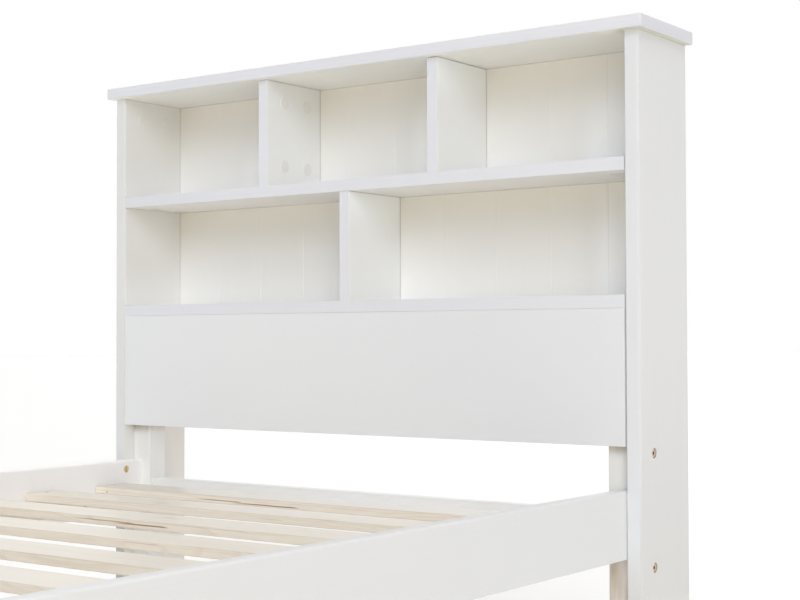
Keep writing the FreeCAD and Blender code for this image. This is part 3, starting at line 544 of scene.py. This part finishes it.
COOL = (0.908, 0.916, 0.975)  # the cooler coat of the boards' narrow edges
# painted warm bounce light for the side panels' inner faces
WARM_BOUNCE = (1.02, 1.005, 0.975)
PANEL_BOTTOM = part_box("front_panel")[0].z
RAIL_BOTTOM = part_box("side_rail_right")[0].z
RAIL_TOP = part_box("side_rail_right")[1].z
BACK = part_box("back_panel")[0].y
CAP_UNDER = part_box("cap_board")[0].z
UPPER_LOW, UPPER_TOP = (v.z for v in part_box("shelf_upper"))
LOWER_LOW, LOWER_TOP = (v.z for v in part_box("shelf_lower"))
INNER = -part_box("side_panel_left")[1].x
POST_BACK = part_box("head_post_left")[1].y
paint_x = paint("paint_long", "x")
# the rails' tops are a little bluer: painted highlight
paint_y = paint("paint_rail", "y", base=(0.825, 0.829, 0.829), facing_light_shade=(("+z", (0.992, 1.000, 1.020)),))
for node, top in (("shelf_upper", UPPER_TOP), ("shelf_lower", LOWER_TOP)):
    coat(
        node,
        paint(
            f"paint_{node}",
            "x",
            edge_tint=("z", COOL),
            streaks=0.35,
            # painted light on the undersides
            facing_light_shade=(("-z", (1.080, 1.060, 1.025)),),
            # painted shade on the upper shelf's front edge, darker to the left
            light_shade_fades=(("x", -0.45, -0.10, (0.968, 0.968, 0.960), EVEN, "-y"),) if node == "shelf_upper" else (),
            # painted shade along the back corners
            corner_shades=(("y", BACK, 0.0016, 0.40, "+z", 0.0), ("y", BACK, 0.0016, 0.30, "-z", 0.0)),
        ),
    )
coat(
    "cap_board",
    paint(
        "paint_cap",
        "x",
        edge_tint=("z", COOL),
        # painted light on the underside and on the right-hand end
        facing_light_shade=(("-z", (1.112, 1.098, 1.048)), ("+x", (1.036, 1.028, 1.028))),
        streaks=1.0,
        # painted shade along the back corner and the front face's lower edge
        corner_shades=(("y", BACK, 0.0016, 0.40, "-z", 0.0), ("z", CAP_UNDER + 0.0007, 0.0009, 0.20, "-y", 0.0)),
        # painted shadow on the overhang's underside at the right-hand end
        light_shade_fades=(("x", INNER - 0.020, INNER + 0.004, EVEN, (0.74, 0.73, 0.66), "-z"),),
    ),
)
for node in ("foot_panel", "foot_cap_board"):
    coat(node, paint_x)
coat(
    "head_cross_rail",
    # painted shade to the left, painted light to the right
    paint("paint_cross_rail", "x", light_shade_fades=(("x", -0.45, 0.05, (0.935, 0.931, 0.910), (1.02, 1.01, 1.0), None),)),
)
coat(
    "front_panel",
    paint(
        "paint_front_panel",
        "x",
        base=(0.818, 0.822, 0.836),
        grain=0.1,
        # painted shade, darker towards the right
        light_shade_fades=(("x", -0.25, 0.48, EVEN, (0.955, 0.955, 0.970), None),),
    ),
)
for node in ("divider_upper_left", "divider_upper_right", "divider_lower"):
    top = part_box(node)[1].z
    coat(
        node,
        paint(
            f"paint_{node}",
            "z",
            edge_tint=("x", COOL),
            # painted light on the faces turned to the right
            facing_light_shade=(("+x", (1.045, 1.05, 1.06)),),
            light_shade_fades=(
                # painted shade near the top, under the board above
                ("z", top - 0.14, top, EVEN, (0.965, 0.965, 0.955), "+x"),
                # painted light at the top of the other two
                ("z", top - 0.07, top - 0.01, EVEN, EVEN if node == "divider_upper_left" else (1.095, 1.115, 1.135), "+x"),
            ),
            # painted shade along the back and top corners
            corner_shades=(
                ("y", BACK - 0.0005, 0.0012, 0.25, "+x", 0.0),
                ("z", top, 0.0012, 0.08, "+x", 0.0),
            ),
        ),
    )
for side in ("left", "right"):
    inward = "+x" if side == "left" else "-x"
    outward = "-x" if side == "left" else "+x"
    coat(
        f"side_panel_{side}",
        paint(
            f"paint_panel_{side}",
            "z",
            base=(0.822, 0.820, 0.820),
            # painted warm bounce light on the inner faces, painted shade on the front edges
            facing_light_shade=((inward, WARM_BOUNCE), ("-y", (0.932, 0.938, 0.930 if side == "left" else 0.962))),
            holes=panel_holes[side],
            # painted shade on the front edge beside and below the rail and low on the outer face, painted light low in
            # each compartment and behind the post
            light_shade_fades=(
                ("z", RAIL_TOP - 0.045, RAIL_TOP + 0.022, (0.865, 0.868, 0.872), EVEN, "-y"),
                ("z", 0.215, RAIL_TOP - 0.045, (0.935, 0.925, 0.880), EVEN, "-y"),
                ("z", 0.15, 0.65, (0.93, 0.925, 0.90), EVEN, outward),
                ("z", UPPER_TOP, 0.885, (1.055, 1.06, 1.085), EVEN, inward, UPPER_TOP, 1.0),
                ("z", LOWER_TOP, 0.705, (1.09, 1.095, 1.11), EVEN, inward, LOWER_TOP, 0.8),
                ("y", POST_BACK - 0.002, POST_BACK + 0.004, EVEN, (1.11, 1.09, 1.055), inward, 0.0, 0.5),
            ),
            # painted shade along the corners
            corner_shades=(
                ("y", BACK, 0.0016, 0.20, inward, LOWER_TOP),
                ("z", CAP_UNDER, 0.0018, 0.24, inward, 0.0),
                ("z", CAP_UNDER, 0.0020, 0.32, outward, 0.0),
                ("z", UPPER_TOP, 0.0014, 0.35, inward, 0.0),
                ("z", LOWER_TOP, 0.0014, 0.35, inward, 0.0),
            ),
            # painted shade on the rounded edges
            arris_shade=(0.875, 0.872, 0.870),
            specular=0.15,
        ),
    )
    # painted brown shade under the front panel, with bare wood where the coat stops short
    bare_and_shade = [("z", PANEL_BOTTOM, PANEL_BOTTOM - 0.016, 0.62)]
    if side == "right":
        # painted brown shade under the rail, all the way down
        bare_and_shade.append(("z", RAIL_BOTTOM - 0.0005, RAIL_BOTTOM - 0.24, 0.85))
    # painted shade on the left post's front face, painted light on its inner face
    facing_light_shade = (("-y", (0.984, 0.976, 0.950)), ("+x", (1.030, 1.012, 0.992))) if side == "left" else ()
    coat(f"head_post_{side}", paint(f"paint_post_{side}", "z", bare_and_shade=bare_and_shade, facing_light_shade=facing_light_shade))
    coat(f"foot_post_{side}", paint(f"paint_foot_post_{side}", "z"))
    # painted light: the far rail's coat is made paler
    coat(
        f"side_rail_{side}",
        paint_y if side == "right" else paint("paint_rail_left", "y", base=(0.982, 0.962, 0.952)),
    )
coat(
    "back_panel",
    paint(
        "paint_back",
        "z",
        base=(0.845, 0.832, 0.805),
        grain=0.2,
        # painted light low in each compartment, painted shade near the top
        light_shade_fades=(
            ("z", UPPER_TOP, 0.88, (1.01, 1.02, 1.045), EVEN, "-y", UPPER_TOP, 1.0),
            ("z", LOWER_TOP, 0.70, (1.07, 1.075, 1.085), EVEN, "-y", 0.0, 0.8),
            ("z", 0.90, CAP_UNDER, EVEN, (1.00, 0.975, 0.940), "-y"),
            ("z", 0.72, UPPER_LOW, EVEN, (0.995, 0.98, 0.935), "-y", 0.0, 0.8),
        ),
        # painted light beside the compartments' right-hand walls, lifting their shade
        light_patches=(
            (-0.345, -0.295, -0.22, 0.92, 0.85, (1.09, 1.10, 1.11)),
            (0.020, 0.062, 0.12, 0.985, 0.87, (1.17, 1.19, 1.20)),
            (0.325, 0.385, 0.50, 0.985, 0.86, (1.165, 1.185, 1.215)),
            (0.345, 0.390, 0.50, 0.83, 0.70, (1.175, 1.19, 1.215)),
        ),
        # painted shade along the corners
        corner_shades=(
            ("x", -INNER, 0.0018, 0.22, "-y", 0.0),
            ("x", INNER, 0.0018, 0.22, "-y", 0.0),
            ("z", CAP_UNDER, 0.0018, 0.26, "-y", 0.0),
            ("z", UPPER_TOP, 0.0014, 0.35, "-y", 0.0),
            ("z", UPPER_LOW, 0.0014, 0.35, "-y", 0.0),
            ("z", LOWER_TOP, 0.0014, 0.35, "-y", 0.0),
            # painted shade in the last groove but one
            ("x", 0.3824, 0.0011, 0.12, "-y", 0.0),
        )
        + tuple(
            ("x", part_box(node)[1].x, 0.0016, 0.28, "-y", least)
            for node, least in (
                ("divider_upper_left", UPPER_LOW),
                ("divider_upper_right", UPPER_LOW),
                ("divider_lower", -UPPER_TOP),
            )
        ),
    ),
)

slat_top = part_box("slat_01")[1].z
RESIN = {
    1: (
        (-0.240, -0.130, slat_top - 0.0070, 0.0012, 0.75),
        (-0.165, -0.015, slat_top - 0.0088, 0.0013, 0.95),
    ),
    2: ((0.020, 0.075, slat_top - 0.0060, 0.0008, 0.25),),
    3: (
        (-0.200, -0.060, slat_top - 0.0050, 0.0011, 0.70),
        (-0.115, 0.002, slat_top - 0.0064, 0.0014, 0.95),
        (-0.160, 0.160, slat_top - 0.0022, 0.0006, 0.30),
    ),
    4: ((0.050, 0.130, slat_top - 0.0030, 0.0008, 0.35),),
}
for i in range(1, 14):
    coat(
        f"slat_{i:02d}",
        pine(
            f"pine_{i:02d}",
            1.0 + (i - 1) * 2.37,
            tone=1.0 + 0.012 * math.sin(i * 2.1),
            streaks=RESIN.get(i, ()),
            spots=((-0.430, slat_top - 0.0082, 0.0016),) if i == 1 else (),
            # the two slats nearest the headboard get less sheen on top: painted shade
            top={1: (0.643, 0.617, 0.560), 2: (0.788, 0.738, 0.660)}.get(i, PINE_TOP_SHEEN),
        ),
    )
for i, side in enumerate(("left", "right")):
    coat(f"slat_batten_{side}", pine(f"pine_batten_{side}", 40.0 + i, axis="y"))

coat("barrel_nuts", metal("brass", (0.88, 0.68, 0.34), (0.56, 0.39, 0.17), 0.34))
coat("panel_bolts", metal("bronzed_steel", (0.78, 0.66, 0.55), (0.55, 0.44, 0.34), 0.46, metallic=0.45, socket_shade=0.4979))
coat("rail_bolts", metal("bronzed_steel_rail", (0.62, 0.50, 0.36), (0.34, 0.25, 0.17), 0.42))
coat("panel_sleeves", metal("zinc_sleeve", (0.62, 0.62, 0.60), (0.40, 0.40, 0.39), 0.40))
coat("cam_pins", metal("zinc_pin", (0.62, 0.62, 0.60), (0.40, 0.40, 0.39), 0.38))
coat("cam_discs", metal("zinc_cam", (0.60, 0.60, 0.58), (0.36, 0.36, 0.35), 0.45))
coat("slat_screws", metal("screw_steel", (0.45, 0.42, 0.36), (0.24, 0.21, 0.17), 0.42))
coat("batten_screws", metal("screw_steel_batten", (0.45, 0.42, 0.36), (0.24, 0.21, 0.17), 0.42))
coat("back_screws", metal("screw_steel_back", (0.55, 0.54, 0.50), (0.30, 0.28, 0.25), 0.40))
coat("cam_covers", plastic("cover_plastic", (0.822, 0.812, 0.790)))
coat("dowels", turned_wood("beech"))

# ------------------------------------------------------------------ floor and light

me = bpy.data.meshes.new("floor")
me.from_pydata([(-40, -40, 0), (40, -40, 0), (40, 60, 0), (-40, 60, 0)], [], [(0, 1, 2, 3)])
floor = bpy.data.objects.new("floor", me)
scene.collection.objects.link(floor)
n = Net("floor_pale")
spot = n.noise(n.place, 6.0, 4.0, 0.6)
me.materials.append(
    n.finish(n.times((0.983, 0.986, 0.991), n.ramp(spot, 0.3, 0.7, 0.995, 1.0)), n.ramp(spot, 0.3, 0.7, 0.50, 0.60))
)

world = bpy.data.worlds.new("studio")
scene.world = world
world.use_nodes = True
wt = world.node_tree
wt.nodes.clear()


def wnode(kind, **inputs):
    node = wt.nodes.new(kind)
    for key, value in inputs.items():
        node.inputs[int(key[1:])].default_value = value
    return node


def wlink(a, out, b, into):
    wt.links.new(a.outputs[out], b.inputs[into])


# A white cove with large soft sources: a bank of them in front, to the right, one
# overhead, a weak one at the right and two behind that clear the floor. Seen directly it
# is white.
SOURCES = (
    # azimuth from the bed's foot towards the right, elevation, where it starts and
    # where it is full as the cosine of the angle, colour
    (25.0, 36.0, 0.90, 0.985, (2.61, 2.64, 2.74)),
    (36.0, 24.0, 0.95, 0.990, (2.72, 2.86, 3.22)),
    (12.0, 24.0, 0.95, 0.990, (0.70, 0.88, 1.15)),
    (36.0, 5.0, 0.95, 0.990, (1.51, 1.50, 1.24)),
    (62.0, 14.0, 0.93, 0.990, (0.14, 0.21, 0.28)),
    (0.0, 90.0, 0.72, 0.98, (1.69, 1.62, 1.47)),
    (110.0, 20.0, 0.72, 0.98, (0.30, 0.28, 0.30)),
    (180.0, 30.0, 0.72, 0.98, (0.70, 0.72, 0.80)),
    (208.0, 4.0, 0.55, 0.90, (1.32, 1.32, 1.31)),
)
w_out = wnode("ShaderNodeOutputWorld")
w_mix = wnode("ShaderNodeMixShader")
w_light = wnode("ShaderNodeBackground")
w_seen = wnode("ShaderNodeBackground", i0=(1.0, 1.0, 1.0, 1.0), i1=1.0)
w_path = wnode("ShaderNodeLightPath")
w_where = wnode("ShaderNodeTexCoord")
total = None
for azimuth, elevation, start, full, colour in SOURCES:
    a, e = math.radians(azimuth), math.radians(elevation)
    w_dot = wnode("ShaderNodeVectorMath")
    w_dot.operation = "DOT_PRODUCT"
    w_dot.inputs[1].default_value = (
        math.sin(a) * math.cos(e),
        -math.cos(a) * math.cos(e),
        math.sin(e),
    )
    w_lobe = wnode("ShaderNodeMapRange")
    w_lobe.interpolation_type = "SMOOTHSTEP"
    w_lobe.inputs["From Min"].default_value = start
    w_lobe.inputs["From Max"].default_value = full
    w_part = wnode("ShaderNodeVectorMath")
    w_part.operation = "SCALE"
    w_part.inputs[0].default_value = colour
    wlink(w_where, "Generated", w_dot, 0)
    wlink(w_dot, "Value", w_lobe, "Value")
    wlink(w_lobe, "Result", w_part, "Scale")
    if total is None:
        total = w_part
    else:
        w_sum = wnode("ShaderNodeVectorMath")
        w_sum.operation = "ADD"
        wlink(total, 0, w_sum, 0)
        wlink(w_part, 0, w_sum, 1)
        total = w_sum
wlink(total, 0, w_light, 0)
wlink(w_path, "Is Camera Ray", w_mix, 0)
wlink(w_light, 0, w_mix, 1)
wlink(w_seen, 0, w_mix, 2)
wlink(w_mix, 0, w_out, 0)

# a wide low panel of warm light in front, to the right
lamp = bpy.data.lights.new("panel_low", "AREA")
lamp.shape = "RECTANGLE"
lamp.size, lamp.size_y = 3.0, 1.0
lamp.energy = 19.5
lamp.color = (1.0, 0.86, 0.54)
holder = bpy.data.objects.new("panel_low", lamp)
scene.collection.objects.link(holder)
a = math.radians(36.0)
holder.location = (math.sin(a) * 4.2, 0.95 - math.cos(a) * 4.2, 0.55)
aim = Vector((0.0, 0.95, 0.55)) - holder.location
holder.rotation_mode = "QUATERNION"
holder.rotation_quaternion = aim.to_track_quat("-Z", "Y")
holder.visible_camera = False

scene.view_settings.view_transform = "Standard"
scene.view_settings.look = "None"
scene.view_settings.exposure = 0.0
scene.view_settings.gamma = 1.0
